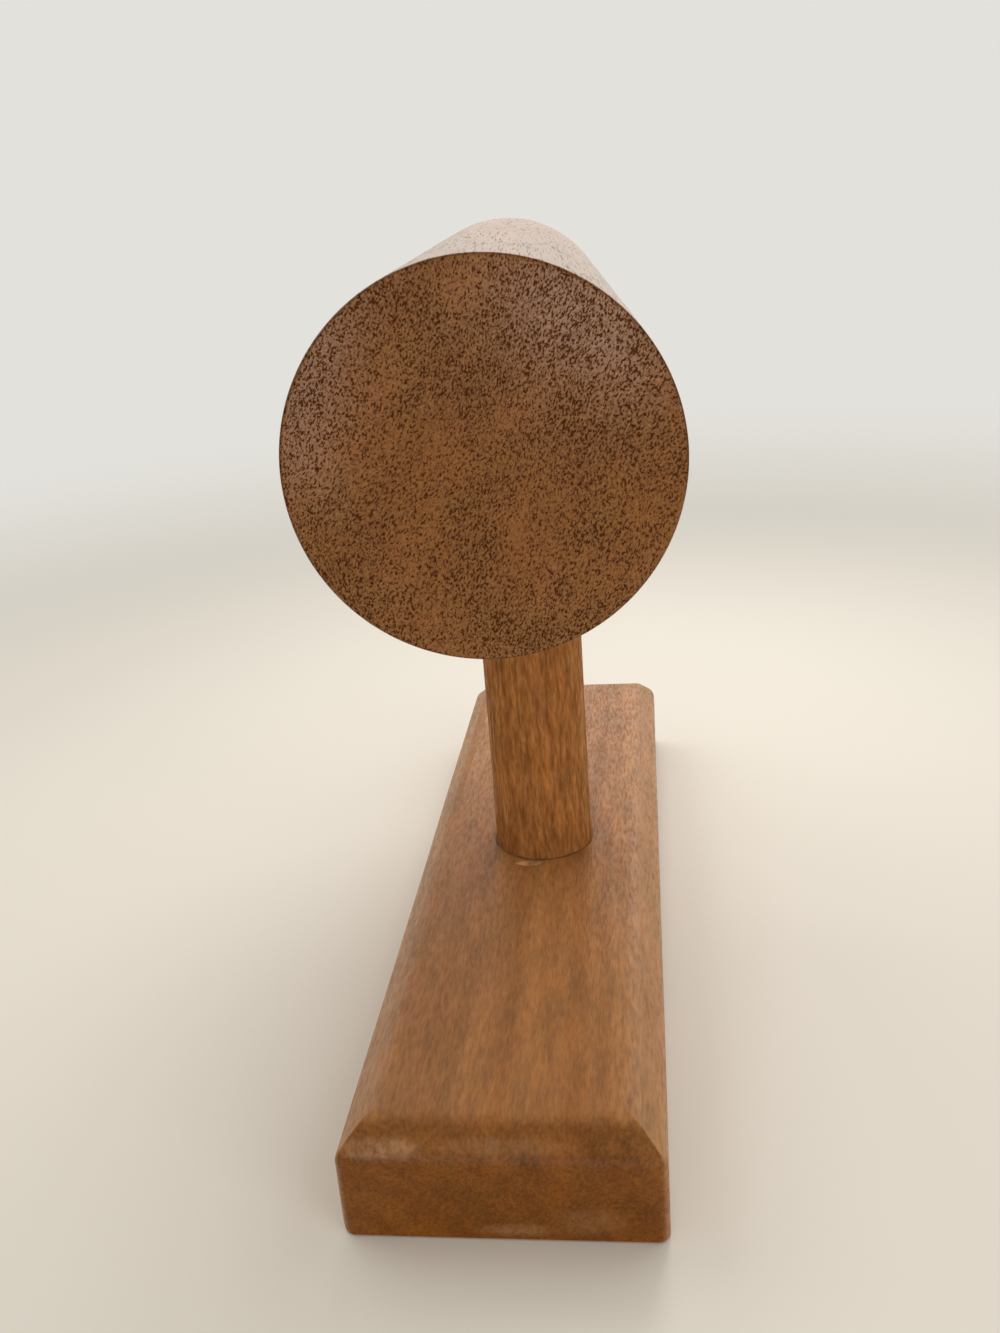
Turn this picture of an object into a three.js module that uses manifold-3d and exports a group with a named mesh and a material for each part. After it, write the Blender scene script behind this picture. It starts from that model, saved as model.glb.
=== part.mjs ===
// T-bar jewelry display in wood: a base board, a round post and a round bar for bracelets and watches.
// Millimetres, +Z up. The origin is the middle of the underside of the base.
// +X runs along the base, +Y across it, and the bar lies along +X at the top of the post.

import * as THREE from "three";
import { mergeVertices } from "three/addons/utils/BufferGeometryUtils.js";
import Module from "manifold-3d";

// Base board, with a softened bevel along its four top edges
const BASE_LENGTH = 180;
const BASE_WIDTH = 50;
const BASE_THICKNESS = 19.5;
const BEVEL_INSET = 4.6; // how far the bevel reaches in over the top
const BEVEL_DROP = 4.6; // how far it reaches down the side
const BEVEL_UPPER_RADIUS = 4; // sanded arris between the top and the bevel
const BEVEL_LOWER_RADIUS = 4; // sanded arris between the bevel and the side
const BASE_CORNER_RADIUS = 1.5; // the four upright corners, rounded with sandpaper
const BASE_LOWER_CHAMFER = 0.4; // the edges that rest on the table, eased with sandpaper
const BASE_SOCKET_DEPTH = 12; // blind hole that takes the foot of the post
const BASE_SOCKET_OFFSET = 0.9; // how far the hole was drilled off the middle of the base, towards +Y

// Post, a plain dowel glued into both sockets
const POST_DIAMETER = 20;
const POST_END_CHAMFER = 0.8; // on both hidden ends, to start the dowel into its sockets

// Bar, turned and then sawn off, with sanded ends
const BAR_DIAMETER = 50;
const BAR_LENGTH = 169;
const BAR_END_RADIUS = 0.5; // eased rim of each end
const BAR_END_CROWN = 0.5; // how far the middle of each end stands proud of its rim
const BAR_SOCKET_DEPTH = 16; // blind hole for the top of the post, from the lowest line of the bar
const BAR_SOCKET_OFFSET = 2.5; // how far the socket was drilled off the bar's centre line
const BAR_TURN = THREE.MathUtils.degToRad(4.5); // how far the bar was glued out of line with the base

// Space under the bar in which bracelets hang
const HANGING_DROP = 72.2;

// Glued fits
const GLUE_GAP = 0.2; // between the post and the wall of a socket
const SEAT_GAP = 0.3; // between an end of the post and the floor of its socket

// Lacquered wood: colour and roughness of each piece
const BASE_FINISH = { color: 0x9a7148, roughness: 0.42 };
const POST_FINISH = { color: 0x80522a, roughness: 0.45 };
const BAR_FINISH = { color: 0x7b5a3c, roughness: 0.4 };

// Fineness of the round surfaces
const ROUND_SIDES = 72;
const ARC_STEPS = 8;
const CROWN_STEPS = 3;
const MERGE_DISTANCE = 1e-4; // closer corners than this are one corner

// Sizes worked out from the ones above
const BAR_RADIUS = BAR_DIAMETER / 2;
const POST_RADIUS = POST_DIAMETER / 2;
const SOCKET_RADIUS = POST_RADIUS + GLUE_GAP;
const BAR_AXIS_HEIGHT = BASE_THICKNESS + HANGING_DROP + BAR_RADIUS;
const BASE_SOCKET_FLOOR = BASE_THICKNESS - BASE_SOCKET_DEPTH;
const BAR_SOCKET_FLOOR = BAR_AXIS_HEIGHT - BAR_RADIUS + BAR_SOCKET_DEPTH;
const POST_BOTTOM = BASE_SOCKET_FLOOR + SEAT_GAP;
const POST_TOP = BAR_SOCKET_FLOOR - SEAT_GAP;
const CUT_OVERRUN = 2; // how far a cutting cylinder reaches out of the wood

const wasm = await Module();
wasm.setup();

// A closed geometry as a solid that can be joined and cut.
function solidFrom(geometry) {
  const bare = geometry.clone();
  bare.deleteAttribute("normal");
  bare.deleteAttribute("uv");
  const merged = mergeVertices(bare, MERGE_DISTANCE);
  return new wasm.Manifold(
    new wasm.Mesh({
      numProp: 3,
      vertProperties: merged.attributes.position.array,
      triVerts: new Uint32Array(merged.index.array),
    }),
  );
}

// A solid as a geometry that a mesh can hold.
function geometryFrom(solid) {
  const { vertProperties, triVerts } = solid.getMesh();
  const geometry = new THREE.BufferGeometry();
  geometry.setAttribute("position", new THREE.BufferAttribute(vertProperties, 3));
  geometry.setIndex(new THREE.BufferAttribute(triVerts, 1));
  geometry.computeVertexNormals();
  return geometry;
}

// Points of an arc that turns left from one angle to another, both ends included.
function arcPoints(centreX, centreY, radius, from, to, steps) {
  return new THREE.EllipseCurve(centreX, centreY, radius, radius, from, to).getPoints(steps);
}

// A solid of revolution about Z. The profile runs upwards, from the axis back to the axis.
function turned(profile) {
  return new THREE.LatheGeometry(profile, ROUND_SIDES).rotateX(Math.PI / 2);
}

// An upright cylinder between two heights.
function uprightCylinder(radius, bottom, top) {
  return turned([
    new THREE.Vector2(0, bottom),
    new THREE.Vector2(radius, bottom),
    new THREE.Vector2(radius, top),
    new THREE.Vector2(0, top),
  ]);
}

// The board seen along one of its edges: eased below, bevelled above, with rounded arrises.
function boardProfile(across) {
  const half = across / 2;
  const quarter = Math.PI / 2;
  const slope = Math.atan2(BEVEL_DROP, BEVEL_INSET);
  const upperX = half - BEVEL_INSET - BEVEL_UPPER_RADIUS * Math.tan(slope / 2);
  const upperY = BASE_THICKNESS - BEVEL_UPPER_RADIUS;
  const lowerX = half - BEVEL_LOWER_RADIUS;
  const lowerY = BASE_THICKNESS - BEVEL_DROP - BEVEL_LOWER_RADIUS * Math.tan((quarter - slope) / 2);
  const shape = new THREE.Shape();
  shape.moveTo(-half + BASE_LOWER_CHAMFER, 0);
  shape.lineTo(half - BASE_LOWER_CHAMFER, 0);
  shape.lineTo(half, BASE_LOWER_CHAMFER);
  shape.absarc(lowerX, lowerY, BEVEL_LOWER_RADIUS, 0, quarter - slope, false);
  shape.absarc(upperX, upperY, BEVEL_UPPER_RADIUS, quarter - slope, quarter, false);
  shape.absarc(-upperX, upperY, BEVEL_UPPER_RADIUS, quarter, quarter + slope, false);
  shape.absarc(-lowerX, lowerY, BEVEL_LOWER_RADIUS, quarter + slope, 2 * quarter, false);
  shape.lineTo(-half, BASE_LOWER_CHAMFER);
  return shape;
}

// The board seen from above: a rectangle with eased corners.
function boardOutline() {
  const x = BASE_LENGTH / 2 - BASE_CORNER_RADIUS;
  const y = BASE_WIDTH / 2 - BASE_CORNER_RADIUS;
  const quarter = Math.PI / 2;
  const shape = new THREE.Shape();
  shape.absarc(x, y, BASE_CORNER_RADIUS, 0, quarter, false);
  shape.absarc(-x, y, BASE_CORNER_RADIUS, quarter, 2 * quarter, false);
  shape.absarc(-x, -y, BASE_CORNER_RADIUS, 2 * quarter, 3 * quarter, false);
  shape.absarc(x, -y, BASE_CORNER_RADIUS, 3 * quarter, 4 * quarter, false);
  return shape;
}

// The base: each pair of edges is bevelled along its whole length, so the bevels meet in mitres.
function baseGeometry() {
  const extrude = (shape, depth) =>
    new THREE.ExtrudeGeometry(shape, { depth, bevelEnabled: false, curveSegments: ARC_STEPS });
  const alongX = extrude(boardProfile(BASE_WIDTH), BASE_LENGTH)
    .rotateX(Math.PI / 2)
    .rotateZ(Math.PI / 2)
    .translate(-BASE_LENGTH / 2, 0, 0);
  const alongY = extrude(boardProfile(BASE_LENGTH), BASE_WIDTH)
    .rotateX(Math.PI / 2)
    .translate(0, BASE_WIDTH / 2, 0);
  const upright = extrude(boardOutline(), BASE_THICKNESS);
  const socket = uprightCylinder(SOCKET_RADIUS, BASE_SOCKET_FLOOR, BASE_THICKNESS + CUT_OVERRUN)
    .translate(0, BASE_SOCKET_OFFSET, 0);
  return geometryFrom(
    solidFrom(alongX)
      .intersect(solidFrom(alongY))
      .intersect(solidFrom(upright))
      .subtract(solidFrom(socket)),
  );
}

// The post: a dowel with a small chamfer on each end.
function postGeometry() {
  const tip = POST_RADIUS - POST_END_CHAMFER;
  return turned([
    new THREE.Vector2(0, POST_BOTTOM),
    new THREE.Vector2(tip, POST_BOTTOM),
    new THREE.Vector2(POST_RADIUS, POST_BOTTOM + POST_END_CHAMFER),
    new THREE.Vector2(POST_RADIUS, POST_TOP - POST_END_CHAMFER),
    new THREE.Vector2(tip, POST_TOP),
    new THREE.Vector2(0, POST_TOP),
  ]);
}

// Half of the bar's outline, from the middle of its far end to the middle of its near end.
function barProfile() {
  const crownEdge = BAR_RADIUS - BAR_END_RADIUS;
  const crownRadius = (crownEdge ** 2 + BAR_END_CROWN ** 2) / (2 * BAR_END_CROWN);
  const crownAngle = Math.asin(crownEdge / crownRadius);
  const end = BAR_LENGTH / 2;
  const rimStart = end - BAR_END_CROWN - BAR_END_RADIUS;
  const quarter = Math.PI / 2;
  const rim = arcPoints(crownEdge, rimStart, BAR_END_RADIUS, 0, quarter, ARC_STEPS);
  const crown = arcPoints(0, end - crownRadius, crownRadius, quarter - crownAngle, quarter, CROWN_STEPS);
  const near = [...rim, ...crown.slice(1)];
  near[near.length - 1].setX(0);
  const far = near.map((point) => new THREE.Vector2(point.x, -point.y)).reverse();
  return [...far, ...near];
}

// The bar along X, with the socket for the post in its underside.
function barGeometry() {
  const round = turned(barProfile()).rotateY(Math.PI / 2);
  const socketFloor = BAR_SOCKET_DEPTH - BAR_RADIUS;
  const socket = uprightCylinder(SOCKET_RADIUS, -BAR_RADIUS - CUT_OVERRUN, socketFloor)
    .translate(0, BAR_SOCKET_OFFSET, 0);
  return geometryFrom(solidFrom(round).subtract(solidFrom(socket)));
}

// One named piece in lacquered wood.
function woodPiece(name, geometry, finish) {
  const mesh = new THREE.Mesh(geometry, new THREE.MeshStandardMaterial({ ...finish, metalness: 0 }));
  mesh.name = name;
  return mesh;
}

const display = new THREE.Group();
display.add(woodPiece("base_board", baseGeometry(), BASE_FINISH));
const post = woodPiece("post", postGeometry(), POST_FINISH);
post.position.set(0, BASE_SOCKET_OFFSET, 0);
display.add(post);

// The bar turns about the post and hangs off its centre line by the offset of its socket.
const barCarrier = new THREE.Group();
barCarrier.position.set(0, BASE_SOCKET_OFFSET, BAR_AXIS_HEIGHT);
barCarrier.rotation.z = BAR_TURN;
const bar = woodPiece("bar", barGeometry(), BAR_FINISH);
bar.position.set(0, -BAR_SOCKET_OFFSET, 0);
barCarrier.add(bar);
display.add(barCarrier);

export default display;
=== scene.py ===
import math
from typing import NamedTuple

import bmesh
import bpy
from mathutils import Matrix, Vector, noise


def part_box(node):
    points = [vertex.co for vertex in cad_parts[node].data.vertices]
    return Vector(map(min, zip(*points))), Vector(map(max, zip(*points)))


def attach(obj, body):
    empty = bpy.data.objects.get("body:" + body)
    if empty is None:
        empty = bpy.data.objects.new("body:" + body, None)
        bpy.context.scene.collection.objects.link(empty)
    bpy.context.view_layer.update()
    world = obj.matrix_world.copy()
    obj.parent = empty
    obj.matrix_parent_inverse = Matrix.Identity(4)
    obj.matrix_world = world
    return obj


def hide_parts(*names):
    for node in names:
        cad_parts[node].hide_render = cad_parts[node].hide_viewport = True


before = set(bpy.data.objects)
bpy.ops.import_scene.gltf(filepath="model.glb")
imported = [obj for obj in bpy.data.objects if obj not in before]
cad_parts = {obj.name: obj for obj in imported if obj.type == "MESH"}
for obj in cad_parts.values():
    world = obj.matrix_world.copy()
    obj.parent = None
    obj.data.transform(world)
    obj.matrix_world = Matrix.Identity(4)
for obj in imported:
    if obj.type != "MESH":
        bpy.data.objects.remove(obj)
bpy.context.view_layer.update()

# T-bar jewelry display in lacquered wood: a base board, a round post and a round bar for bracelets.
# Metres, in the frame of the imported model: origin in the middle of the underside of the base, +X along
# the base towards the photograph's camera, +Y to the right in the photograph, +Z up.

bl_info = {
    "name": "T-Bar Jewelry Display",
    "version": (1, 0, 0),
    "blender": (4, 5, 0),
    "location": "View3D > Sidebar > Jewelry Display",
    "description": "Builds a lacquered wooden T-bar display for bracelets and watches",
    "category": "Object",
}

MM = 0.001
BASE_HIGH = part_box("base_board")[1]
POST_LOW, POST_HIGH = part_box("post")
BAR_LOW, BAR_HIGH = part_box("bar")

# Sizes that the frame gives
BASE_TOP = BASE_HIGH.z
BASE_HALF_LENGTH = BASE_HIGH.x
BASE_HALF_WIDTH = BASE_HIGH.y
POST_RADIUS = (POST_HIGH.x - POST_LOW.x) / 2
POST_MIDDLE = (POST_LOW + POST_HIGH) / 2
POST_AXIS = Vector((POST_MIDDLE.x, POST_MIDDLE.y, 0))
BAR_RADIUS = (BAR_HIGH.z - BAR_LOW.z) / 2
BAR_AXIS_HEIGHT = (BAR_HIGH.z + BAR_LOW.z) / 2

# Fineness of the meshes
ARC_STEPS = 10
CORNER_STEPS = 5
POST_SIDES = 96
BAR_SIDES = 160
LENGTH_STEP = 4 * MM
SHARP_ANGLE = math.radians(38)
CROWN_POWER = 5  # how late the ends of the bar fall off towards their rims
WAVER_SPACING = 28 * MM  # from one swell of the hand-sanded surface to the next


def linear(hex_colour):
    """A colour written as sRGB hex, in the linear values that Blender's shaders take."""
    parts = [int(hex_colour[i : i + 2], 16) / 255 for i in (1, 3, 5)]
    return tuple(p / 12.92 if p <= 0.04045 else ((p + 0.055) / 1.055) ** 2.4 for p in parts)


def length(name, description, millimetres):
    """A length that a user may change."""
    return bpy.props.FloatProperty(
        name=name, description=description, default=millimetres * MM, min=0, unit="LENGTH", precision=5
    )


def colour(name, description, hex_colour):
    """A colour that a user may change."""
    return bpy.props.FloatVectorProperty(
        name=name, description=description, default=linear(hex_colour), min=0, max=1, subtype="COLOR"
    )


class DisplaySizes(bpy.types.PropertyGroup):
    """Sizes of the display that its box in the frame doesn't give."""

    bevel_inset: length("Bevel inset", "How far the bevels of the base reach in over its top", 4.6)
    bevel_drop: length("Bevel drop", "How far the bevels of the base reach down its sides", 4.6)
    upper_arris: length("Upper arris", "Radius of the sanded arris between the top and a bevel", 4)
    lower_arris: length("Lower arris", "Radius of the sanded arris between a bevel and a side", 4)
    corner_round: length("Corner round", "Radius of the four upright corners of the base", 1.5)
    foot_round: length("Foot round", "Radius of those corners at the underside, where knocks wore them", 2.2)
    foot_height: length("Foot height", "How far up the corners are worn", 2.5)
    mitre_round: length("Mitre round", "How crisp the bevels of the base meet at a corner", 0.25)
    lower_ease: length("Lower ease", "Eased edge along the underside of the base", 0.4)
    base_socket: length("Base socket", "Depth of the hole for the foot of the post", 12)
    bar_socket: length("Bar socket", "Depth of the hole in the bar, from its lowest line", 16)
    glue_gap: length("Glue gap", "Space between the post and the wall of a socket", 0.2)
    socket_ease: length("Socket ease", "Sanded rim of the hole in the base", 0.15)
    post_chamfer: length("Post chamfer", "Chamfer on both hidden ends of the post", 0.8)
    bar_length: length("Bar length", "Length of the bar from end to end", 169)
    bar_rim: length("Bar rim", "Radius of the eased rim of each end of the bar", 0.5)
    bar_crown: length("Bar crown", "How far the middle of each end of the bar stands proud of its rim", 0.5)
    bar_offset: length("Bar offset", "How far the socket was drilled off the bar's centre line", 2.5)
    hand_waver: length("Hand waver", "How far sanding by hand left the surfaces from true", 0.06)
    bead: length("Glue bead", "Height of the bead of glue that was squeezed out of a joint", 0.16)
    bar_turn: bpy.props.FloatProperty(
        name="Bar turn",
        description="How far the bar was glued out of line with the base",
        default=math.radians(4.5),
        unit="ROTATION",
    )


class WoodColours(bpy.types.PropertyGroup):
    """Colours of the wood, the glue and the stage."""

    base_light: colour("Base light", "Early wood of the base", "#aa7443")
    base_dark: colour("Base dark", "Late wood of the base", "#965f2e")
    base_end: colour("Base end", "Tint of its end grain, which drinks more finish", "#c6ad4c")
    post_light: colour("Post light", "Early wood of the post", "#b0753f")
    post_dark: colour("Post dark", "Late wood of the post", "#92592c")
    bar_light: colour("Bar light", "Early wood of the bar", "#a87246")
    bar_dark: colour("Bar dark", "Late wood of the bar", "#986336")
    bar_end: colour("Bar end", "Tint of its end grain, which drinks more finish", "#dcd2b0")
    pore: colour("Pore", "Open pores, darkened by the stain that settled in them", "#502406")
    # Pale paint for painted light on the base: a painted highlight along its lower front arris, painted
    # light on its long bevels, and plain pale patches near its underside
    painted_sheen_and_pale: colour("Painted sheen and pale", "Bare wood where handling rubbed the stain off", "#d0a47a")
    fleck: colour("Fleck", "Pale cells between the pores", "#d8ae84")
    glue: colour("Glue", "Dried wood glue in the seam, darkened by stain", "#7a5230")
    # The pale colour of the smear is a painted glint, on a thin smear of glue
    smear: colour("Smear", "Thin glue that was wiped over the wood and kept the stain out", "#b98a5c")
    floor: colour("Floor", "Pale matt floor", "#ebe4d8")
    backdrop: colour("Backdrop", "Pale background behind the display", "#e3e1db")


class Cut(NamedTuple):
    """How a piece was cut from the tree: its pattern in millimetres, with the grain along its own X."""

    pith: tuple  # where the heart of the tree lies, across the grain
    ring_width: float  # from one growth band to the next
    band_show: float  # how strongly the growth bands show
    fibre: tuple  # length and width of a streak of fibres
    fibre_show: float  # how strongly the streaks show
    pore: tuple  # length, height and width of a pore
    pore_show: tuple  # how strongly pores show on long grain and on end grain
    pore_spare: float  # how many fewer pores long grain opens than end grain
    pore_rim: tuple  # noise levels at which a pore starts and is full, close together if it is crisp
    mottle: tuple  # size of the slow patches, how far their hue strays and how far their tone does
    edge_stain: float  # how much darker an eased edge is, which drinks the most stain
    bevel_painted_light: float  # how far the long bevels are painted paler, a painted light for the stronger light that falls on them
    roughness: float  # of the lacquer between the pores
    ior: float  # of the lacquer, lower where it is thin and soaked in


# The pores of the real wood are about 0.2 mm across. They are drawn at 0.25 to 0.5 mm, so that they show.
BASE_CUT = Cut(
    pith=(-42, -34),
    ring_width=6,
    band_show=0.7,
    fibre=(3, 0.7),
    fibre_show=0.22,
    pore=(2.6, 0.5, 0.45),
    pore_show=(0.16, 0.26),
    pore_spare=0,
    pore_rim=(0.58, 0.34),
    mottle=(4, 0.04, 0.13),
    edge_stain=0,
    # The long bevels of the base are painted paler: painted light
    bevel_painted_light=0.26,
    roughness=0.3,
    ior=1.35,
)
POST_CUT = Cut(
    pith=(30, 14),
    ring_width=4,
    band_show=0.6,
    fibre=(6, 1),
    fibre_show=0.38,
    pore=(2.6, 0.5, 0.45),
    pore_show=(0.32, 0.4),
    pore_spare=0,
    pore_rim=(0.58, 0.34),
    mottle=(4, 0.05, 0.08),
    edge_stain=0,
    bevel_painted_light=0,
    roughness=0.5,
    ior=1.12,
)
BAR_CUT = Cut(
    pith=(70, -60),
    ring_width=8,
    band_show=0.5,
    fibre=(14, 0.45),
    fibre_show=0.26,
    pore=(9, 0.38, 0.24),
    pore_show=(0.6, 0.92),
    pore_spare=0.04,
    pore_rim=(0.5, 0.38),
    mottle=(8, 0.04, 0.08),
    edge_stain=0.5,
    bevel_painted_light=0,
    roughness=0.2,
    ior=1.4,
)

# Noise that several patterns use
NOISE_MIDDLE = (0.5, 0.5, 0.5)
FINE_NOISE = {"Scale": 1, "Detail": 2, "Roughness": 0.6}

# How the grain runs, in millimetres
ACROSS_GRAIN = (0, 1, 1)
SWAY_SPACING = (110, 35, 35)  # over which the grain sways, along it and across it
SWAY_REACH = (0, 6, 6)  # how far it sways
PORE_LEAN = math.radians(24)  # how far pores and fibres lean round the grain

# How the pattern of the wood shows, mostly as levels of noise between which it goes from none to full
END_GRAIN_START = 0.2  # share of the normal that lies along the fibres where end grain starts to show
RING_DARK, RING_LIGHT = 0.3, 0.72
STREAK_DARK, STREAK_LIGHT = 0.25, 0.75
PATCH_DARK, PATCH_LIGHT = 0.3, 0.7
PATCH_STRETCH = (0.25, 1, 1)  # the slow patches are four times as long along the grain
PATCH_DETAIL = 3
HUE_GAIN = 4  # widens noise, which keeps near its middle
CROWDING = 0.08  # how much denser the pores are in the dark patches
FLECK_START, FLECK_FULL = 0.56, 0.75
FLECK_SHOW = 0.4

# The film of lacquer and the relief under it
FILM_SHINE = 0.5  # of the lacquer between the pores
PORE_SHINE = 0  # of an open pore, which holds no film
SUNKEN_DULLNESS = 0.2  # how much rougher the film is where it sank into a pore
FIBRE_SWELL = 0.25  # height of a streak of fibre, against the depth of a pore
RELIEF_DEPTH = 0.03 * MM
RELIEF_STRENGTH = 0.7

# Slants, as the distance of a squared share of the normal from that at 45 degrees
HALFWAY = 0.5
EDGE_STAIN_REACH = 0.45
# Slants between which the long bevels are painted paler, a painted light for the light that falls on them
BEVEL_PAINTED_LIGHT_START, BEVEL_PAINTED_LIGHT_FULL = 0.45, 0.15

# Places on the front of the base that are painted paler, the first two a painted highlight along the lower
# arris and the last two pale patches near the underside: place and reach in millimetres, and how far
PAINTED_SHEEN_AND_PALE_PLACES = (
    ((89, -18, 16.1), (4, 9, 1.7), 0.46),
    ((89, 0, 16.5), (4, 14, 1.6), 0.18),
    ((90, 2, 2.2), (3, 8, 1.6), 0.24),
    ((90, 13, 4), (3, 7, 3.6), 0.14),
)
PAINTED_PALE_CORE = 0.3  # share of a place's reach over which it is painted palest
PALE_BLOT_SIZE = (5, 1.2, 1.2)  # of one blot in the ragged edge of the pale paint, in millimetres
PALE_BLOT_NOISE = {"Scale": 1, "Detail": 4, "Roughness": 0.65}
PALE_BLOT_START, PALE_BLOT_FULL = 0.36, 0.62
PALE_BLOT_LEAST = 0.25  # share that is painted pale between the blots too

# Dried glue
GLUE_BLOT = 3 * MM
GLUE_DETAIL = 3
GLUE_DARK, GLUE_LIGHT = 0.5, 1.4
GLUE_ROUGHNESS = 0.6
GLUE_IOR = 1.2

# Sockets of the Mix node by number, because several share a name
MIX_FACTOR = 0
MIX_FIRST, MIX_SECOND = 2, 3
MIX_FIRST_COLOUR, MIX_SECOND_COLOUR = 6, 7
COLOUR_MIX = {"give": 2, "data_type": "RGBA"}


def add_node(tree, kind, inputs=None, give=0, **settings):
    """Adds a node, makes its settings, fills its inputs with values or links, and returns an output."""
    node = tree.nodes.new(kind)
    for name, value in settings.items():
        setattr(node, name, value)
    for key, value in (inputs or {}).items():
        if isinstance(value, bpy.types.NodeSocket):
            tree.links.new(value, node.inputs[key])
        else:
            node.inputs[key].default_value = value
    return node.outputs[give] if node.outputs else None


def rgba(values):
    """A property's colour with full alpha."""
    return (*values, 1)


def swaying_grain(tree, mm):
    """Places in the wood, in millimetres, with the grain swaying a little on its way along the piece."""
    slow = add_node(tree, "ShaderNodeVectorMath", {0: mm, 1: SWAY_SPACING}, operation="DIVIDE")
    drift = add_node(tree, "ShaderNodeTexNoise", {"Vector": slow, "Scale": 1, "Detail": 1}, give="Color")
    centred = add_node(tree, "ShaderNodeVectorMath", {0: drift, 1: NOISE_MIDDLE}, operation="SUBTRACT")
    sway = add_node(tree, "ShaderNodeVectorMath", {0: centred, 1: SWAY_REACH}, operation="MULTIPLY")
    return add_node(tree, "ShaderNodeVectorMath", {0: mm, 1: sway}, operation="ADD")


def growth_bands(tree, grain, cut):
    """From 0 to 1 across the growth bands, which are shells round the pith."""
    across = add_node(tree, "ShaderNodeVectorMath", {0: grain, 1: ACROSS_GRAIN}, operation="MULTIPLY")
    ends = {0: across, 1: (0, *cut.pith)}
    from_pith = add_node(tree, "ShaderNodeVectorMath", ends, give="Value", operation="DISTANCE")
    shell = add_node(tree, "ShaderNodeMath", {0: from_pith, 1: cut.ring_width}, operation="DIVIDE")
    ring = add_node(tree, "ShaderNodeTexNoise", {"W": shell, **FINE_NOISE}, noise_dimensions="1D")
    return add_node(
        tree,
        "ShaderNodeMapRange",
        {"Value": ring, "From Min": RING_DARK, "From Max": RING_LIGHT},
        interpolation_type="SMOOTHSTEP",
    )


def drawn_out(tree, grain, long, high, wide):
    """Noise from 0 to 1 in streaks of a length along the grain and two widths across it, in millimetres."""
    lean = {"Vector": grain, "Angle": PORE_LEAN}
    leaning = add_node(tree, "ShaderNodeVectorRotate", lean, rotation_type="X_AXIS")
    size = (long, wide, high)
    stretched = add_node(tree, "ShaderNodeVectorMath", {0: leaning, 1: size}, operation="DIVIDE")
    return add_node(tree, "ShaderNodeTexNoise", {"Vector": stretched, **FINE_NOISE})


def off_slant(tree, share):
    """From 0 where a surface slants by 45 degrees to 0.5 where it lies square, by a share of its normal."""
    squared = add_node(tree, "ShaderNodeMath", {0: share, 1: share}, operation="MULTIPLY")
    slant = add_node(tree, "ShaderNodeMath", {0: squared, 1: HALFWAY}, operation="SUBTRACT")
    return add_node(tree, "ShaderNodeMath", {0: slant}, operation="ABSOLUTE")


def painted_sheen_mask(tree, mm, side, bevel_painted_light, places):
    """From 0 to 1 where the base is painted paler, raggedly: along the long bevels, where the normal lies
    between the side and the top, a painted light for the stronger light on them, and at some places."""
    edge = {"From Min": BEVEL_PAINTED_LIGHT_START, "From Max": BEVEL_PAINTED_LIGHT_FULL, "To Max": bevel_painted_light}
    painted_sheen_and_pale = add_node(tree, "ShaderNodeMapRange", {"Value": off_slant(tree, side), **edge})
    for place, reach, much in places:
        away = add_node(tree, "ShaderNodeVectorMath", {0: mm, 1: place}, operation="SUBTRACT")
        scaled = add_node(tree, "ShaderNodeVectorMath", {0: away, 1: reach}, operation="DIVIDE")
        distance = add_node(tree, "ShaderNodeVectorMath", {0: scaled}, give="Value", operation="LENGTH")
        patch = add_node(
            tree,
            "ShaderNodeMapRange",
            {"Value": distance, "From Min": 1, "From Max": PAINTED_PALE_CORE, "To Max": much},
            interpolation_type="SMOOTHSTEP",
        )
        painted_sheen_and_pale = add_node(tree, "ShaderNodeMath", {0: painted_sheen_and_pale, 1: patch}, operation="MAXIMUM")
    pale_blot_place = add_node(tree, "ShaderNodeVectorMath", {0: mm, 1: PALE_BLOT_SIZE}, operation="DIVIDE")
    pale_blots = add_node(tree, "ShaderNodeTexNoise", {"Vector": pale_blot_place, **PALE_BLOT_NOISE})
    levels = {"From Min": PALE_BLOT_START, "From Max": PALE_BLOT_FULL, "To Min": PALE_BLOT_LEAST}
    ragged = add_node(tree, "ShaderNodeMapRange", {"Value": pale_blots, **levels})
    return add_node(tree, "ShaderNodeMath", {0: painted_sheen_and_pale, 1: ragged}, operation="MULTIPLY")


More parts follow.
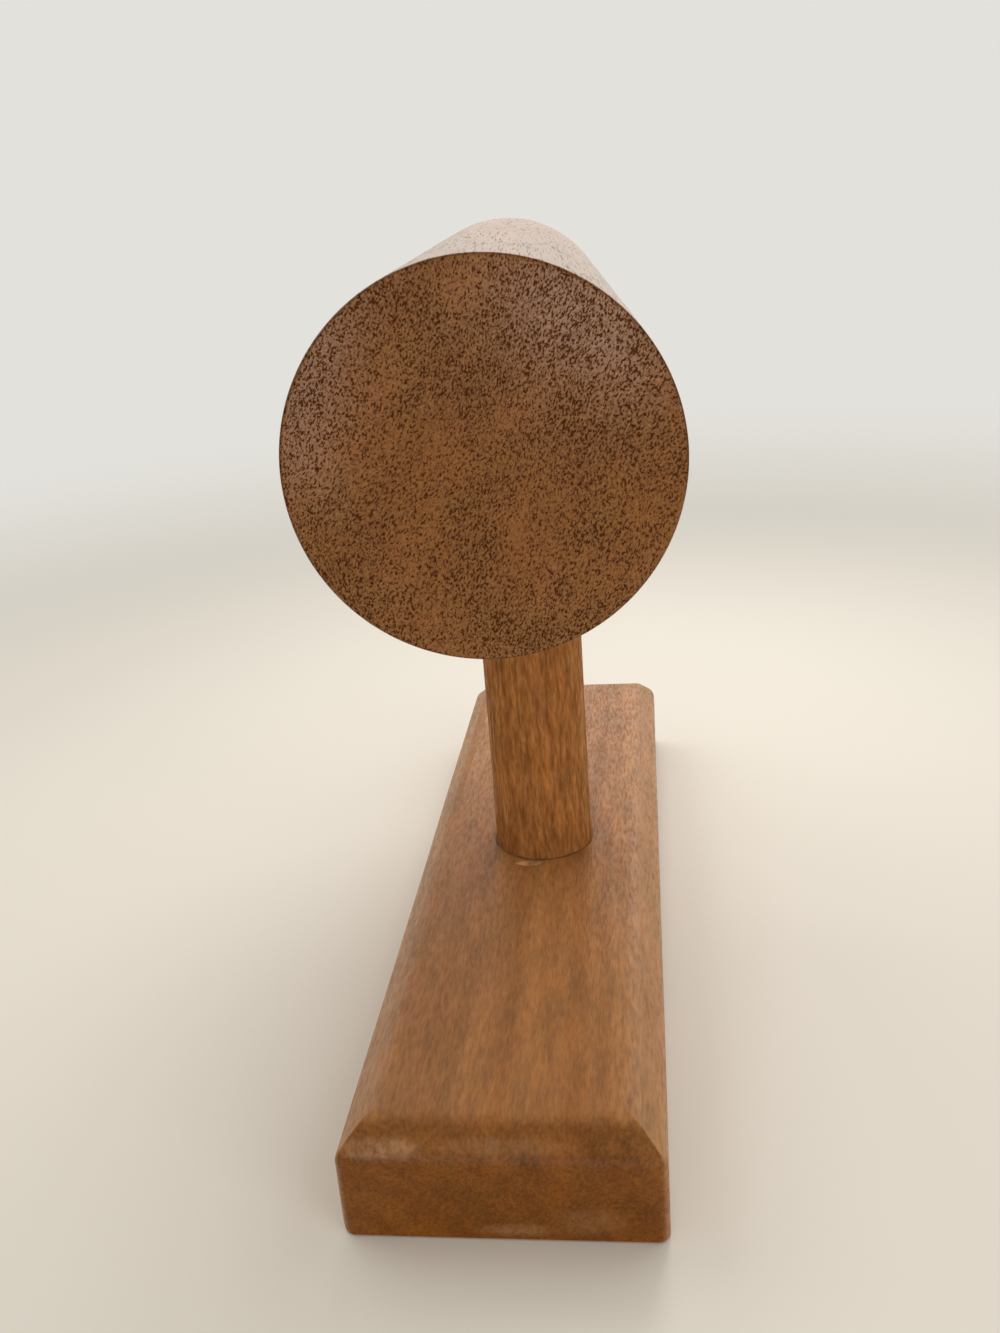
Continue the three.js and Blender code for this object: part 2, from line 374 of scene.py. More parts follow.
def lacquered_wood(name, light, dark, end_tint, colours, cut, painted_sheen_and_pale=()):
    """Open-pored hardwood under a thin sprayed lacquer. The film gives a soft gloss that turns bright at a
    low angle. Growth bands, streaks of fibre and stain-filled pores show through it: the pores are dashes
    along the grain and specks on the end grain, which is darker because it drinks more finish."""
    material = bpy.data.materials.new(name)
    material.use_nodes = True
    tree = material.node_tree
    tree.nodes.clear()
    where = add_node(tree, "ShaderNodeTexCoord", give="Object")
    mm = add_node(tree, "ShaderNodeVectorMath", {0: where, "Scale": 1 / MM}, operation="SCALE")
    grain = swaying_grain(tree, mm)

    # End grain, where the surface looks along the fibres
    normal = add_node(tree, "ShaderNodeSeparateXYZ", {0: where.node.outputs["Normal"]})
    along = add_node(tree, "ShaderNodeMath", {0: normal}, operation="ABSOLUTE")
    end = add_node(
        tree,
        "ShaderNodeMapRange",
        {"Value": along, "From Min": END_GRAIN_START, "From Max": 1},
        interpolation_type="SMOOTHSTEP",
    )

    # Growth bands, streaks of fibre and slow patches
    bands = growth_bands(tree, grain, cut)
    banding = add_node(tree, "ShaderNodeMapRange", {"Value": bands, "To Min": 1 - cut.band_show})
    fibre_long, fibre_wide = cut.fibre
    fibre = drawn_out(tree, grain, fibre_long, fibre_wide, fibre_wide)
    streaking = add_node(
        tree,
        "ShaderNodeMapRange",
        {
            "Value": fibre,
            "From Min": STREAK_DARK,
            "From Max": STREAK_LIGHT,
            "To Min": 1 - cut.fibre_show,
            "To Max": 1 + cut.fibre_show,
        },
    )
    patch_size, stray, blotch = cut.mottle
    drawn = add_node(tree, "ShaderNodeVectorMath", {0: grain, 1: PATCH_STRETCH}, operation="MULTIPLY")
    patch = {"Vector": drawn, "Scale": 1 / patch_size, "Detail": PATCH_DETAIL}
    hues = add_node(tree, "ShaderNodeTexNoise", patch, give="Color")
    tones = hues.node.outputs["Fac"]
    wander = add_node(
        tree,
        "ShaderNodeVectorMath",
        {0: hues, 1: (HUE_GAIN * stray,) * 3, 2: (1 - HUE_GAIN * stray / 2,) * 3},
        operation="MULTIPLY_ADD",
    )
    blotches = add_node(
        tree,
        "ShaderNodeMapRange",
        {
            "Value": tones,
            "From Min": PATCH_DARK,
            "From Max": PATCH_LIGHT,
            "To Min": 1 - blotch,
            "To Max": 1 + blotch,
        },
    )
    shading = add_node(tree, "ShaderNodeMath", {0: streaking, 1: blotches}, operation="MULTIPLY")
    band = {MIX_FACTOR: banding, MIX_FIRST_COLOUR: rgba(dark), MIX_SECOND_COLOUR: rgba(light)}
    banded = add_node(tree, "ShaderNodeMix", band, **COLOUR_MIX)
    streaked = add_node(tree, "ShaderNodeVectorMath", {0: banded, "Scale": shading}, operation="SCALE")
    mottled = add_node(tree, "ShaderNodeVectorMath", {0: streaked, 1: wander}, operation="MULTIPLY")

    # Pores, dark where stain settled, and the pale cells between them
    pit = drawn_out(tree, grain, *cut.pore)
    spare = add_node(tree, "ShaderNodeMapRange", {"Value": end, "To Min": cut.pore_spare, "To Max": 0})
    crowd = {"Value": tones, "To Min": -CROWDING, "To Max": CROWDING}
    crowding = add_node(tree, "ShaderNodeMapRange", crowd)
    spared = add_node(tree, "ShaderNodeMath", {0: pit, 1: spare}, operation="ADD")
    open_pit = add_node(tree, "ShaderNodeMath", {0: spared, 1: crowding}, operation="ADD")
    pore_start, pore_full = cut.pore_rim
    pore = add_node(
        tree,
        "ShaderNodeMapRange",
        {"Value": open_pit, "From Min": pore_start, "From Max": pore_full},
        interpolation_type="SMOOTHSTEP",
    )
    cell = {"Value": pit, "From Min": FLECK_START, "From Max": FLECK_FULL, "To Max": FLECK_SHOW}
    fleck = add_node(tree, "ShaderNodeMapRange", cell)
    long_show, end_show = cut.pore_show
    show = add_node(tree, "ShaderNodeMapRange", {"Value": end, "To Min": long_show, "To Max": end_show})
    pore_shade = add_node(tree, "ShaderNodeMath", {0: pore, 1: show}, operation="MULTIPLY")
    fleck_shade = add_node(tree, "ShaderNodeMath", {0: fleck, 1: show}, operation="MULTIPLY")

    # Flecks, pores, the tint of end grain and the pale paint of painted light, laid over the mottled wood in
    # turn
    pale = {MIX_FACTOR: fleck_shade, MIX_FIRST_COLOUR: mottled, MIX_SECOND_COLOUR: rgba(colours.fleck)}
    flecked = add_node(tree, "ShaderNodeMix", pale, **COLOUR_MIX)
    deep = {MIX_FACTOR: pore_shade, MIX_FIRST_COLOUR: flecked, MIX_SECOND_COLOUR: rgba(colours.pore)}
    pored = add_node(tree, "ShaderNodeMix", deep, **COLOUR_MIX)
    tint = {MIX_FACTOR: end, MIX_FIRST_COLOUR: pored, MIX_SECOND_COLOUR: rgba(end_tint)}
    soaked = add_node(tree, "ShaderNodeMix", tint, blend_type="MULTIPLY", **COLOUR_MIX)
    edge = {"From Max": EDGE_STAIN_REACH, "To Min": 1 - cut.edge_stain, "To Max": 1}
    edging = add_node(tree, "ShaderNodeMapRange", {"Value": off_slant(tree, along), **edge})
    stained = add_node(tree, "ShaderNodeVectorMath", {0: soaked, "Scale": edging}, operation="SCALE")
    # Painted light: the long bevels and the lower front arris of the base are painted paler as light and
    # highlight, and two patches near its underside pale
    wear_and_painted_sheen = painted_sheen_mask(tree, mm, normal.node.outputs["Y"], cut.bevel_painted_light, painted_sheen_and_pale)
    painted_sheen_mix = {MIX_FACTOR: wear_and_painted_sheen, MIX_FIRST_COLOUR: stained, MIX_SECOND_COLOUR: rgba(colours.painted_sheen_and_pale)}
    worn_and_painted_sheen = add_node(tree, "ShaderNodeMix", painted_sheen_mix, **COLOUR_MIX)

    # The film of lacquer sinks into the pores of the long grain and is duller there
    long_grain = add_node(tree, "ShaderNodeMath", {0: 1, 1: end}, operation="SUBTRACT")
    sunken = add_node(tree, "ShaderNodeMath", {0: pore, 1: long_grain}, operation="MULTIPLY")
    film = {"Value": sunken, "To Min": cut.roughness, "To Max": cut.roughness + SUNKEN_DULLNESS}
    dullness = add_node(tree, "ShaderNodeMapRange", film)
    gloss = {"Value": pore_shade, "To Min": FILM_SHINE, "To Max": PORE_SHINE}
    shine = add_node(tree, "ShaderNodeMapRange", gloss)
    swell = add_node(tree, "ShaderNodeMath", {0: fibre, 1: FIBRE_SWELL}, operation="MULTIPLY")
    relief = add_node(tree, "ShaderNodeMath", {0: swell, 1: pore}, operation="SUBTRACT")
    height = {"Height": relief, "Strength": RELIEF_STRENGTH, "Distance": RELIEF_DEPTH}
    bump = add_node(tree, "ShaderNodeBump", height)
    surface = add_node(
        tree,
        "ShaderNodeBsdfPrincipled",
        {
            "Base Color": worn_and_painted_sheen,
            "Roughness": dullness,
            "Specular IOR Level": shine,
            "Normal": bump,
            "IOR": cut.ior,
        },
    )
    add_node(tree, "ShaderNodeOutputMaterial", {"Surface": surface})
    return material


def dried_glue(name, tint):
    """Wood glue that was squeezed out and wiped. It is smooth and a little uneven, and dark where it sat in
    a seam and took stain. In the pale colour of the smear in front of the foot, it is a painted glint."""
    material = bpy.data.materials.new(name)
    material.use_nodes = True
    tree = material.node_tree
    tree.nodes.clear()
    where = add_node(tree, "ShaderNodeTexCoord", give="Object")
    blot = {"Vector": where, "Scale": 1 / GLUE_BLOT, "Detail": GLUE_DETAIL}
    blots = add_node(tree, "ShaderNodeTexNoise", blot)
    shade = add_node(
        tree,
        "ShaderNodeMapRange",
        {
            "Value": blots,
            "From Min": PATCH_DARK,
            "From Max": PATCH_LIGHT,
            "To Min": GLUE_DARK,
            "To Max": GLUE_LIGHT,
        },
    )
    tone = add_node(tree, "ShaderNodeVectorMath", {0: tuple(tint), "Scale": shade}, operation="SCALE")
    film = {"Base Color": tone, "Roughness": GLUE_ROUGHNESS, "IOR": GLUE_IOR}
    surface = add_node(tree, "ShaderNodeBsdfPrincipled", film)
    add_node(tree, "ShaderNodeOutputMaterial", {"Surface": surface})
    return material


def waver(point, amount):
    """How far hand sanding left the surface from true at a point: long, shallow swells."""
    return amount * noise.noise(Vector(point) / WAVER_SPACING)


def loft(rings):
    """A closed mesh through rings of as many points each, capped at both ends."""
    shape = bmesh.new()
    corners = [[shape.verts.new(point) for point in ring] for ring in rings]
    for lower, upper in zip(corners, corners[1:]):
        for i in range(len(lower)):
            j = (i + 1) % len(lower)
            shape.faces.new((lower[i], lower[j], upper[j], upper[i]))
    shape.faces.new(reversed(corners[0]))
    shape.faces.new(corners[-1])
    return shape


def finish_mesh(shape, name):
    """Turns a bmesh into a mesh that is smooth apart from its real edges."""
    bmesh.ops.recalc_face_normals(shape, faces=shape.faces)
    mesh = bpy.data.meshes.new(name)
    shape.to_mesh(mesh)
    shape.free()
    mesh.shade_smooth()
    mesh.set_sharp_from_angle(angle=SHARP_ANGLE)
    return mesh


def add_piece(name, mesh, material, place=Matrix.Identity(4)):
    """Puts a mesh into the scene as a piece of the display."""
    mesh.materials.append(material)
    piece = bpy.data.objects.new(name, mesh)
    bpy.context.scene.collection.objects.link(piece)
    piece.matrix_world = place
    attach(piece, "root")
    return piece


def drill(piece, profile, place):
    """Cuts a round hole into a piece. The profile gives radius and height from the hole's floor upwards."""
    rings = [ring_about_z(radius, height, POST_SIDES) for radius, height in profile]
    cutter = bpy.data.objects.new("drill", finish_mesh(loft(rings), "drill"))
    bpy.context.scene.collection.objects.link(cutter)
    cutter.matrix_world = place
    cut = piece.modifiers.new("hole", "BOOLEAN")
    cut.operation = "DIFFERENCE"
    cut.solver = "EXACT"
    cut.object = cutter
    bpy.context.view_layer.update()
    seen = piece.evaluated_get(bpy.context.evaluated_depsgraph_get())
    drilled = bpy.data.meshes.new_from_object(seen)
    piece.modifiers.clear()
    piece.data = drilled
    drilled.set_sharp_from_angle(angle=SHARP_ANGLE)
    bpy.data.objects.remove(cutter)


def ring_about_z(radius, height, sides):
    """Points round the Z axis."""
    angles = [2 * math.pi * i / sides for i in range(sides)]
    return [(radius * math.cos(a), radius * math.sin(a), height) for a in angles]


def ring_about_x(radius, x, sides, amount):
    """Points round the X axis, with the waver of a hand-sanded surface."""
    ring = []
    for i in range(sides):
        angle = 2 * math.pi * i / sides
        y, z = math.cos(angle), math.sin(angle)
        true = radius + waver((x, radius * y, radius * z), amount)
        ring.append((x, true * y, true * z))
    return ring


def board_ring(half_length, half_width, corner, height, amount):
    """Points round a rectangle with eased corners, at one height of the base."""
    long_steps = round(2 * BASE_HALF_LENGTH / LENGTH_STEP)
    short_steps = round(2 * BASE_HALF_WIDTH / LENGTH_STEP)
    inner_x, inner_y = half_length - corner, half_width - corner
    ring = []
    for quarter, steps in enumerate((short_steps, long_steps, short_steps, long_steps)):
        turn = quarter * math.pi / 2
        reach, run = (inner_x, inner_y) if quarter % 2 == 0 else (inner_y, inner_x)
        ahead = Vector((math.cos(turn), math.sin(turn), 0))
        beside = Vector((-math.sin(turn), math.cos(turn), 0))
        for i in range(steps):
            spot = (reach + corner) * ahead + run * (2 * i / steps - 1) * beside
            ring.append(spot + waver((*spot.xy, height), amount) * ahead)
        for i in range(CORNER_STEPS):
            angle = turn + math.pi / 2 * i / CORNER_STEPS
            out = Vector((math.cos(angle), math.sin(angle), 0))
            spot = reach * ahead + run * beside + corner * out
            ring.append(spot + waver((*spot.xy, height), amount) * out)
    return [(*spot.xy, height) for spot in ring]


def steps_between(low, high):
    """Heights or places from low to high, a length step apart at most."""
    count = math.ceil((high - low) / LENGTH_STEP)
    return [low + (high - low) * i / count for i in range(count + 1)]


def base_mesh(sizes):
    """The base: eased below, upright sides, bevels that meet in mitres, and a flat top."""
    slope = math.atan2(sizes.bevel_drop, sizes.bevel_inset)
    upright = math.pi / 2 - slope
    upper, lower = sizes.upper_arris, sizes.lower_arris
    shoulder = BASE_TOP - sizes.bevel_drop - lower * math.tan(upright / 2)
    flat = sizes.bevel_inset + upper * math.tan(slope / 2)
    profile = [(sizes.lower_ease, 0, sizes.foot_round)]
    wear_height = sizes.foot_height - sizes.lower_ease
    worn_and_painted_sheen = [sizes.lower_ease + wear_height * i / ARC_STEPS for i in range(ARC_STEPS)]
    for height in worn_and_painted_sheen + steps_between(sizes.foot_height, shoulder):
        wear_and_painted_sheen = max(0, 1 - height / sizes.foot_height) ** 2
        profile.append((0, height, sizes.corner_round + (sizes.foot_round - sizes.corner_round) * wear_and_painted_sheen))
    for i in range(1, ARC_STEPS + 1):
        share = i / ARC_STEPS
        angle = upright * share
        corner = sizes.corner_round + (sizes.mitre_round - sizes.corner_round) * share
        profile.append((lower * (1 - math.cos(angle)), shoulder + lower * math.sin(angle), corner))
    for i in range(ARC_STEPS + 1):
        angle = upright + slope * i / ARC_STEPS
        inset = flat - upper * math.cos(angle)
        profile.append((inset, BASE_TOP - upper * (1 - math.sin(angle)), sizes.mitre_round))
    profile.append((flat + sizes.corner_round, BASE_TOP, sizes.mitre_round))
    rings = []
    for inset, height, corner in profile:
        amount = sizes.hand_waver if 0 < height < BASE_TOP else 0
        halves = (BASE_HALF_LENGTH - inset, BASE_HALF_WIDTH - inset)
        rings.append(board_ring(*halves, corner, height, amount))
    return finish_mesh(loft(rings), "base board")


def post_mesh(sizes):
    """The post, along its own X: a dowel with a chamfer on each end."""
    half = (POST_HIGH.z - POST_LOW.z) / 2
    tip = POST_RADIUS - sizes.post_chamfer
    shoulder = half - sizes.post_chamfer
    profile = [(tip, -half)]
    profile += [(POST_RADIUS, x) for x in steps_between(-shoulder, shoulder)]
    profile.append((tip, half))
    rings = [ring_about_x(radius, x, POST_SIDES, sizes.hand_waver) for radius, x in profile]
    return finish_mesh(loft(rings), "post")


def bar_mesh(sizes):
    """The bar, along its own X: turned round, with slightly crowned ends and finely eased rims."""
    half = sizes.bar_length / 2
    rim, crown = sizes.bar_rim, sizes.bar_crown
    edge = BAR_RADIUS - rim
    rim_start = half - crown - rim
    near = []
    for i in range(1, ARC_STEPS + 1):
        angle = math.pi / 2 * i / ARC_STEPS
        near.append((edge + rim * math.cos(angle), rim_start + rim * math.sin(angle)))
    for i in range(1, ARC_STEPS):
        share = 1 - i / ARC_STEPS
        near.append((edge * share, half - crown * share**CROWN_POWER))
    far = [(radius, -x) for radius, x in reversed(near)]
    profile = far + [(BAR_RADIUS, x) for x in steps_between(-rim_start, rim_start)] + near
    rings = []
    for radius, x in profile:
        rings.append(ring_about_x(radius, x, BAR_SIDES, sizes.hand_waver * radius / BAR_RADIUS))
    return finish_mesh(loft(rings), "bar")


def bar_place(sizes):
    """Where the bar lies: turned about the post, and off its centre line by the offset of its socket."""
    turn = Matrix.Rotation(sizes.bar_turn, 4, "Z")
    beside = Matrix.Translation((0, -sizes.bar_offset, 0))
    return Matrix.Translation((*POST_AXIS.xy, BAR_AXIS_HEIGHT)) @ turn @ beside


# A bead of glue round the post
BEAD_RIPPLE = 3  # how quickly it swells and thins on its way round
BEAD_LEAST = 0.15  # share of its height where it is thinnest
BEAD_START = 0.25  # share of the glue gap at which it starts
BEAD_HOLLOW = 0.3  # share of its height halfway out, where it is hollow


def glue_bead_mesh(sizes, seat, rise, name):
    """A thin bead of glue round the post. Seat gives the height of the wood that the post enters, and rise
    is 1 where the bead stands on that wood and -1 where it hangs from it."""
    shape = bmesh.new()
    sections = []
    for i in range(POST_SIDES):
        angle = 2 * math.pi * i / POST_SIDES
        out = Vector((math.cos(angle), math.sin(angle), 0))
        much = (1 + noise.noise(Vector((BEAD_RIPPLE * out.x, BEAD_RIPPLE * out.y, rise)))) / 2
        height = sizes.bead * (BEAD_LEAST + (1 - BEAD_LEAST) * much)
        inner = POST_RADIUS + BEAD_START * sizes.glue_gap
        outer = POST_RADIUS + sizes.glue_gap + sizes.socket_ease + height
        middle = (inner + outer) / 2
        points = []
        section = ((inner, -sizes.bead), (outer, 0), (middle, BEAD_HOLLOW * height), (inner, height))
        for radius, lift in section:
            spot = radius * out
            points.append(shape.verts.new((spot.x, spot.y, seat(spot.x, spot.y) + rise * lift)))
        sections.append(points)
    for i, points in enumerate(sections):
        following = sections[(i + 1) % len(sections)]
        for j in range(len(points)):
            k = (j + 1) % len(points)
            shape.faces.new((points[j], points[k], following[k], following[j]))
    return finish_mesh(shape, name)


# A thin smear of glue that was left on the base in front of the foot, coloured pale as a painted glint
SMEAR_PLACE = Vector((11.5, -1.6, BASE_TOP / MM)) * MM
SMEAR_HALF_LENGTH = 1.1 * MM
SMEAR_HALF_WIDTH = 2.5 * MM
SMEAR_HEIGHT = 0.05 * MM
SMEAR_SIDES = 40
SMEAR_PROFILE = ((1, 0), (0.85, 0.5), (0.55, 0.9), (0.2, 1))  # shares of its reach and its height
SMEAR_RIPPLE = 1.7  # how quickly its rim goes in and out
SMEAR_RAGGED = 0.45  # how far it does
SMEAR_SEED = 5


def glue_smear_mesh():
    """A low, ragged drop that lies on the wood."""
    rings = []
    for reach, lift in SMEAR_PROFILE:
        ring = []
        for i in range(SMEAR_SIDES):
            angle = 2 * math.pi * i / SMEAR_SIDES
            x, y = math.cos(angle), math.sin(angle)
            stray = noise.noise(Vector((SMEAR_RIPPLE * x, SMEAR_RIPPLE * y, SMEAR_SEED)))
            far = reach * (1 + SMEAR_RAGGED * stray)
            ring.append((SMEAR_HALF_LENGTH * far * x, SMEAR_HALF_WIDTH * far * y, SMEAR_HEIGHT * lift))
        rings.append(ring)
    return finish_mesh(loft(rings), "glue smear")


class MakeBaseBoard(bpy.types.Operator):
    """Makes the base board with its socket for the post"""

    bl_idname = "jewelry_display.base_board"
    bl_label = "Base board"

    def execute(self, context):
        sizes, colours = context.scene.display_sizes, context.scene.wood_colours
        name = "hardwood board, planed and lacquered"
        tints = (colours.base_light, colours.base_dark, colours.base_end)
        wood = lacquered_wood(name, *tints, colours, BASE_CUT, PAINTED_SHEEN_AND_PALE_PLACES)
        board = add_piece("lacquered_base_board", base_mesh(sizes), wood)
        socket = POST_RADIUS + sizes.glue_gap
        flare = socket + sizes.socket_ease
        hole = [
            (socket, BASE_TOP - sizes.base_socket),
            (socket, BASE_TOP - sizes.socket_ease),
            (flare, BASE_TOP),
            (flare, BASE_TOP + sizes.base_socket),
        ]
        drill(board, hole, Matrix.Translation(POST_AXIS))
        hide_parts("base_board")
        return {"FINISHED"}


class MakePost(bpy.types.Operator):
    """Makes the dowel post"""

    bl_idname = "jewelry_display.post"
    bl_label = "Post"

    def execute(self, context):
        sizes, colours = context.scene.display_sizes, context.scene.wood_colours
        name = "hardwood dowel, turned and lacquered"
        tints = (colours.post_light, colours.post_dark, colours.base_end)
        wood = lacquered_wood(name, *tints, colours, POST_CUT)
        stand = Matrix(((0, 1, 0, 0), (0, 0, 1, 0), (1, 0, 0, 0), (0, 0, 0, 1)))
        place = Matrix.Translation(POST_MIDDLE) @ stand
        post = add_piece("lacquered_post", post_mesh(sizes), wood, place)
        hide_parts("post")
        return {"FINISHED"}


class MakeBar(bpy.types.Operator):
    """Makes the round bar with its socket for the post"""

    bl_idname = "jewelry_display.bar"
    bl_label = "Bar"

    def execute(self, context):
        sizes, colours = context.scene.display_sizes, context.scene.wood_colours
        name = "hardwood bar, turned and lacquered"
        tints = (colours.bar_light, colours.bar_dark, colours.bar_end)
        wood = lacquered_wood(name, *tints, colours, BAR_CUT)
        bar = add_piece("lacquered_bar", bar_mesh(sizes), wood, bar_place(sizes))
        socket = POST_RADIUS + sizes.glue_gap
        hole = [(socket, BAR_LOW.z - sizes.bar_socket), (socket, BAR_LOW.z + sizes.bar_socket)]
        drill(bar, hole, Matrix.Translation(POST_AXIS))
        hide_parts("bar")
        return {"FINISHED"}


class MakeGlueBeads(bpy.types.Operator):
    """Makes the thin beads of glue round both ends of the post, and the smear in front of its foot"""

    bl_idname = "jewelry_display.glue_beads"
    bl_label = "Glue beads"

    def execute(self, context):
        sizes, colours = context.scene.display_sizes, context.scene.wood_colours
        glue = dried_glue("dried wood glue, wiped from a seam", colours.glue)
        to_bar = bar_place(sizes).inverted()

        def bar_underside(x, y):
            beside = (to_bar @ Vector((POST_AXIS.x + x, POST_AXIS.y + y, BAR_AXIS_HEIGHT))).y
            return BAR_AXIS_HEIGHT - math.sqrt(BAR_RADIUS**2 - beside**2)

        foot = glue_bead_mesh(sizes, lambda x, y: BASE_TOP, 1, "glue at the foot")
        head = glue_bead_mesh(sizes, bar_underside, -1, "glue at the head")
        add_piece("glue_bead_foot", foot, glue, Matrix.Translation(POST_AXIS))
        add_piece("glue_bead_head", head, glue, Matrix.Translation(POST_AXIS))
        # The smear is coloured pale: a painted glint on the base in front of the foot
        smear = dried_glue("wood glue smear, coloured as a painted glint", colours.smear)
        add_piece("glue_smear", glue_smear_mesh(), smear, Matrix.Translation(SMEAR_PLACE))
        return {"FINISHED"}


# The photograph's camera, fitted to the edges of the object
CAMERA_PLACE = Vector((231.98, 24.6, 148.05)) * MM
CAMERA_YAW = math.radians(-7.472)
CAMERA_PITCH = math.radians(20.985)
CAMERA_ROLL = math.radians(-4.386)
CAMERA_LENS = 33.454

# Studio light: name, place or direction, width and height of a box, and power
STUDIO_MIDDLE = Vector((0, 0, 60)) * MM
BACK_BOX = ("back soft box", Vector((-300, 40, 330)) * MM, 200 * MM, 200 * MM, 0.27)
BACK_SPREAD = math.radians(100)  # a grid on the box keeps its light off the floor behind the display
LEFT_BOX = ("left soft box", Vector((940, -232, 144)) * MM, 180 * MM, 450 * MM, 0.75)
FRONT_BOX = ("front soft box", Vector((967, 182, 125)) * MM, 225 * MM, 225 * MM, 0.65)
RIGHT_BOX = ("right soft box", Vector((650, 650, 300)) * MM, 500 * MM, 600 * MM, 1.9)
BACK_KEY = ("back key light", Vector((-0.6, 0.5, 0.6)), 0.4)
LEFT_KEY = ("left key light", Vector((-0.5, -0.65, 0.55)), 0.75)
KEY_SPREAD = math.radians(55)
FLOOR_RADIUS = 650 * MM
FLOOR_FADE = 130 * MM  # how far from the display the floor starts to fade into the backdrop

# The dome that lights the display: how bright it is at the horizon and overhead
DOME_LOW, DOME_HIGH = 0.17, 0.78
DOME_OVERHEAD = 0.9  # how steeply a direction rises that counts as overhead

# What the lacquer reflects: a dim room, and a backdrop that glows behind the display, each by height
ROOM_SIDE = (0.985, -0.12, -0.1)
ROOM_LOW, ROOM_HIGH = 0.1, 0.4
ROOM_START, ROOM_END = -0.3, 0.5
GLOW_LOW, GLOW_HIGH = 1.2, 3.2
GLOW_START, GLOW_END = 0.22, 0.38
GLOW_CORE, GLOW_RIM = -0.925, -0.86  # how far from the room's side the glow is full and has ended
BACKDROP_STRENGTH = 1  # as the camera sees it


def floor_material(colours):
    """Matt painted board that fades into the backdrop."""
    material = bpy.data.materials.new("matt painted floor")
    material.use_nodes = True
    tree = material.node_tree
    tree.nodes.clear()
    where = add_node(tree, "ShaderNodeTexCoord", give="Object")
    away = add_node(tree, "ShaderNodeVectorMath", {0: where}, give="Value", operation="LENGTH")
    fade = add_node(
        tree,
        "ShaderNodeMapRange",
        {"Value": away, "From Min": FLOOR_FADE, "From Max": FLOOR_RADIUS},
        interpolation_type="SMOOTHSTEP",
    )
    paint = add_node(tree, "ShaderNodeBsdfDiffuse", {"Color": rgba(colours.floor)})
    clear = add_node(tree, "ShaderNodeBsdfTransparent")
    surface = add_node(tree, "ShaderNodeMixShader", {0: fade, 1: paint, 2: clear})
    add_node(tree, "ShaderNodeOutputMaterial", {"Surface": surface})
    return material


def studio_world(colours):
    """A soft dome that is brightest overhead, a pale backdrop and a dimmer room on the camera's side."""
    world = bpy.data.worlds.new("studio")
    world.use_nodes = True
    tree = world.node_tree
    tree.nodes.clear()
    toward = add_node(tree, "ShaderNodeTexCoord", give="Generated")
    rise = add_node(tree, "ShaderNodeSeparateXYZ", {0: toward}, give="Z")
    sides = {0: toward, 1: ROOM_SIDE}
    facing = add_node(tree, "ShaderNodeVectorMath", sides, give="Value", operation="DOT_PRODUCT")
    room = add_node(
        tree,
        "ShaderNodeMapRange",
        {
            "Value": rise,
            "From Min": ROOM_START,
            "From Max": ROOM_END,
            "To Min": ROOM_LOW,
            "To Max": ROOM_HIGH,
        },
        interpolation_type="SMOOTHSTEP",
    )
    glow = add_node(
        tree,
        "ShaderNodeMapRange",
        {
            "Value": rise,
            "From Min": GLOW_START,
            "From Max": GLOW_END,
            "To Min": GLOW_LOW,
            "To Max": GLOW_HIGH,
        },
        interpolation_type="SMOOTHSTEP",
    )
    reflected = add_node(
        tree,
        "ShaderNodeMapRange",
        {"Value": facing, "From Min": GLOW_CORE, "From Max": GLOW_RIM, "To Min": glow, "To Max": room},
        interpolation_type="SMOOTHSTEP",
    )
    path = add_node(tree, "ShaderNodeLightPath", give="Is Camera Ray")
    glossy = path.node.outputs["Is Glossy Ray"]
    dome = add_node(
        tree,
        "ShaderNodeMapRange",
        {"Value": rise, "From Max": DOME_OVERHEAD, "To Min": DOME_LOW, "To Max": DOME_HIGH},
        interpolation_type="SMOOTHSTEP",
    )
    unseen = {MIX_FACTOR: glossy, MIX_FIRST: dome, MIX_SECOND: reflected}
    ambient = add_node(tree, "ShaderNodeMix", unseen)
    seen = {MIX_FACTOR: path, MIX_FIRST: ambient, MIX_SECOND: BACKDROP_STRENGTH}
    strength = add_node(tree, "ShaderNodeMix", seen)
    sky = add_node(tree, "ShaderNodeBackground", {"Color": rgba(colours.backdrop), "Strength": strength})
    add_node(tree, "ShaderNodeOutputWorld", {"Surface": sky})
    return world


def add_lamp(name, kind, strength):
    """A lamp of a kind and strength."""
    lamp = bpy.data.lights.new(name, kind)
    lamp.energy = strength
    holder = bpy.data.objects.new(name, lamp)
    bpy.context.scene.collection.objects.link(holder)
    return holder


def add_key(name, source, strength):
    """A wide, soft lamp that shines from a direction."""
    holder = add_lamp(name, "SUN", strength)
    holder.data.angle = KEY_SPREAD
    holder.rotation_euler = source.to_track_quat("Z", "Y").to_euler()


def add_soft_box(name, place, width, height, power):
    """A lit panel that faces the display."""
    holder = add_lamp(name, "AREA", power)
    holder.data.shape = "RECTANGLE"
    holder.data.size = width
    holder.data.size_y = height
    holder.location = place
    holder.rotation_euler = (STUDIO_MIDDLE - place).to_track_quat("-Z", "Y").to_euler()
    holder.visible_camera = False
    return holder


def add_camera():
    """The camera at the photograph's viewing angle."""
    flat = math.cos(CAMERA_PITCH)
    ahead = Vector((-flat * math.cos(CAMERA_YAW), flat * math.sin(CAMERA_YAW), -math.sin(CAMERA_PITCH)))
    level = ahead.to_track_quat("-Z", "Y").to_matrix()
    camera = bpy.data.cameras.new("camera")
    camera.lens = CAMERA_LENS
    holder = bpy.data.objects.new("camera", camera)
    bpy.context.scene.collection.objects.link(holder)
    rolled = level @ Matrix.Rotation(CAMERA_ROLL, 3, "Z")
    holder.matrix_world = Matrix.Translation(CAMERA_PLACE) @ rolled.to_4x4()
    bpy.context.scene.camera = holder


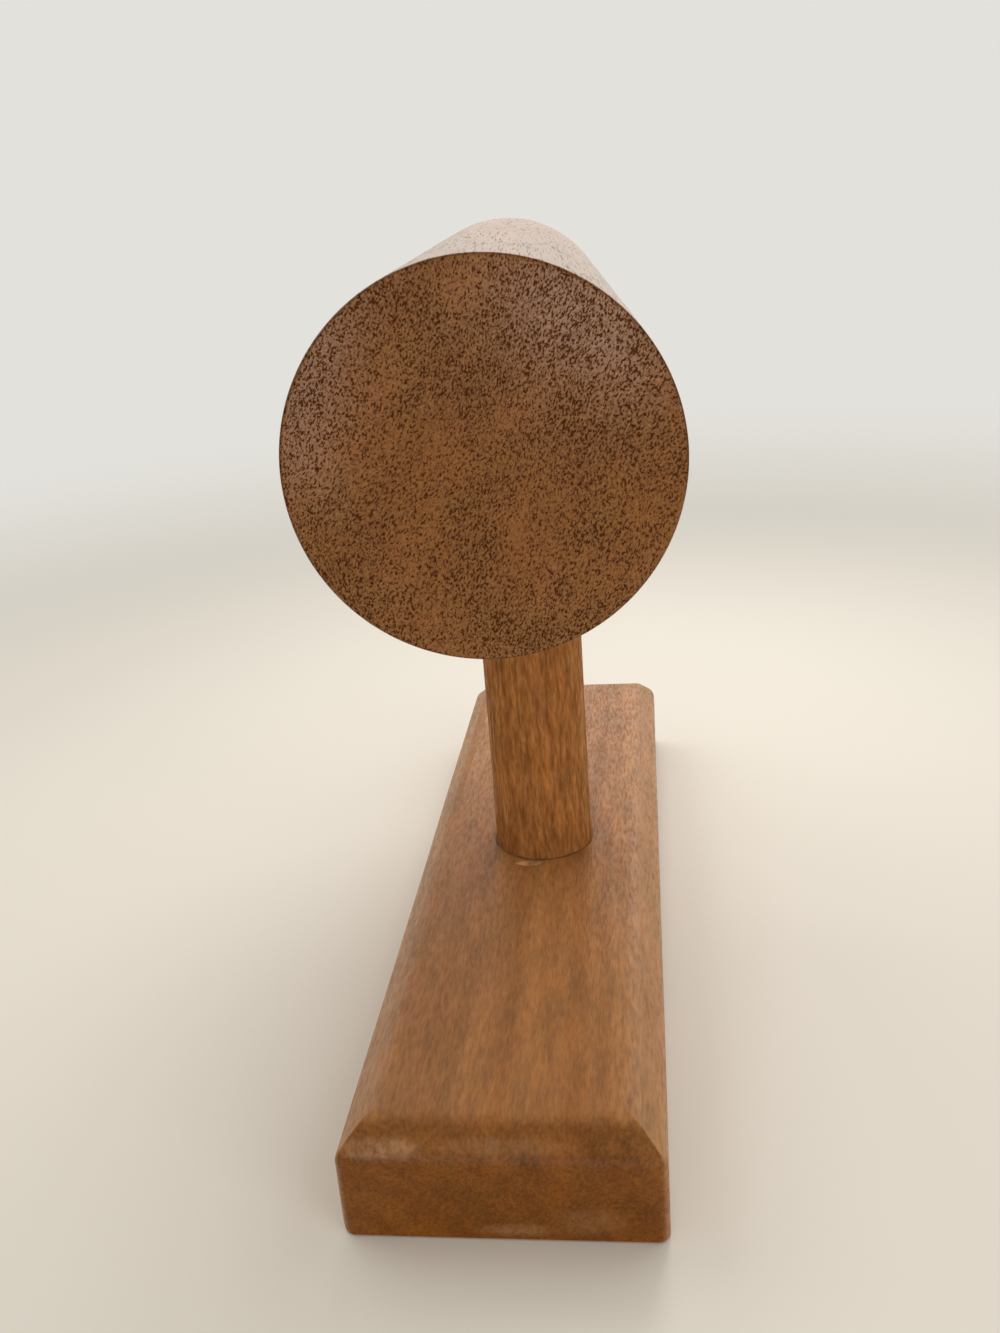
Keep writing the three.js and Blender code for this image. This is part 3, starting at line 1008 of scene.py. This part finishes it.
class MakeStage(bpy.types.Operator):
    """Makes the floor, the light and the camera"""

    bl_idname = "jewelry_display.stage"
    bl_label = "Stage"

    def execute(self, context):
        colours = context.scene.wood_colours
        shape = bmesh.new()
        bmesh.ops.create_circle(shape, cap_ends=True, segments=BAR_SIDES, radius=FLOOR_RADIUS)
        mesh = finish_mesh(shape, "floor")
        mesh.materials.append(floor_material(colours))
        floor = bpy.data.objects.new("floor", mesh)
        context.scene.collection.objects.link(floor)
        context.scene.world = studio_world(colours)
        back = add_soft_box(*BACK_BOX)
        back.data.spread = BACK_SPREAD
        back.visible_glossy = False
        add_soft_box(*LEFT_BOX)
        add_soft_box(*FRONT_BOX)
        add_soft_box(*RIGHT_BOX)
        add_key(*BACK_KEY)
        add_key(*LEFT_KEY)
        add_camera()
        context.scene.view_settings.view_transform = "Standard"
        return {"FINISHED"}


OPERATORS = (MakeBaseBoard, MakePost, MakeBar, MakeGlueBeads, MakeStage)


class DisplayPanel(bpy.types.Panel):
    """Lists the sizes, the colours and the pieces of the display"""

    bl_idname = "VIEW3D_PT_jewelry_display"
    bl_label = "T-Bar Jewelry Display"
    bl_space_type = "VIEW_3D"
    bl_region_type = "UI"
    bl_category = "Jewelry Display"

    def draw(self, context):
        for group in (context.scene.display_sizes, context.scene.wood_colours):
            box = self.layout.box()
            for name in group.__annotations__:
                box.prop(group, name)
        for operator in OPERATORS:
            self.layout.operator(operator.bl_idname)


CLASSES = (DisplaySizes, WoodColours, *OPERATORS, DisplayPanel)


def register():
    """Registers the classes and hangs the settings on the scene."""
    for kind in CLASSES:
        bpy.utils.register_class(kind)
    bpy.types.Scene.display_sizes = bpy.props.PointerProperty(type=DisplaySizes)
    bpy.types.Scene.wood_colours = bpy.props.PointerProperty(type=WoodColours)


def unregister():
    """Takes the settings off the scene and unregisters the classes."""
    del bpy.types.Scene.wood_colours
    del bpy.types.Scene.display_sizes
    for kind in reversed(CLASSES):
        bpy.utils.unregister_class(kind)


def main():
    """Builds the display and the stage."""
    register()
    bpy.ops.jewelry_display.base_board()
    bpy.ops.jewelry_display.post()
    bpy.ops.jewelry_display.bar()
    bpy.ops.jewelry_display.glue_beads()
    bpy.ops.jewelry_display.stage()


if __name__ == "__main__":
    main()
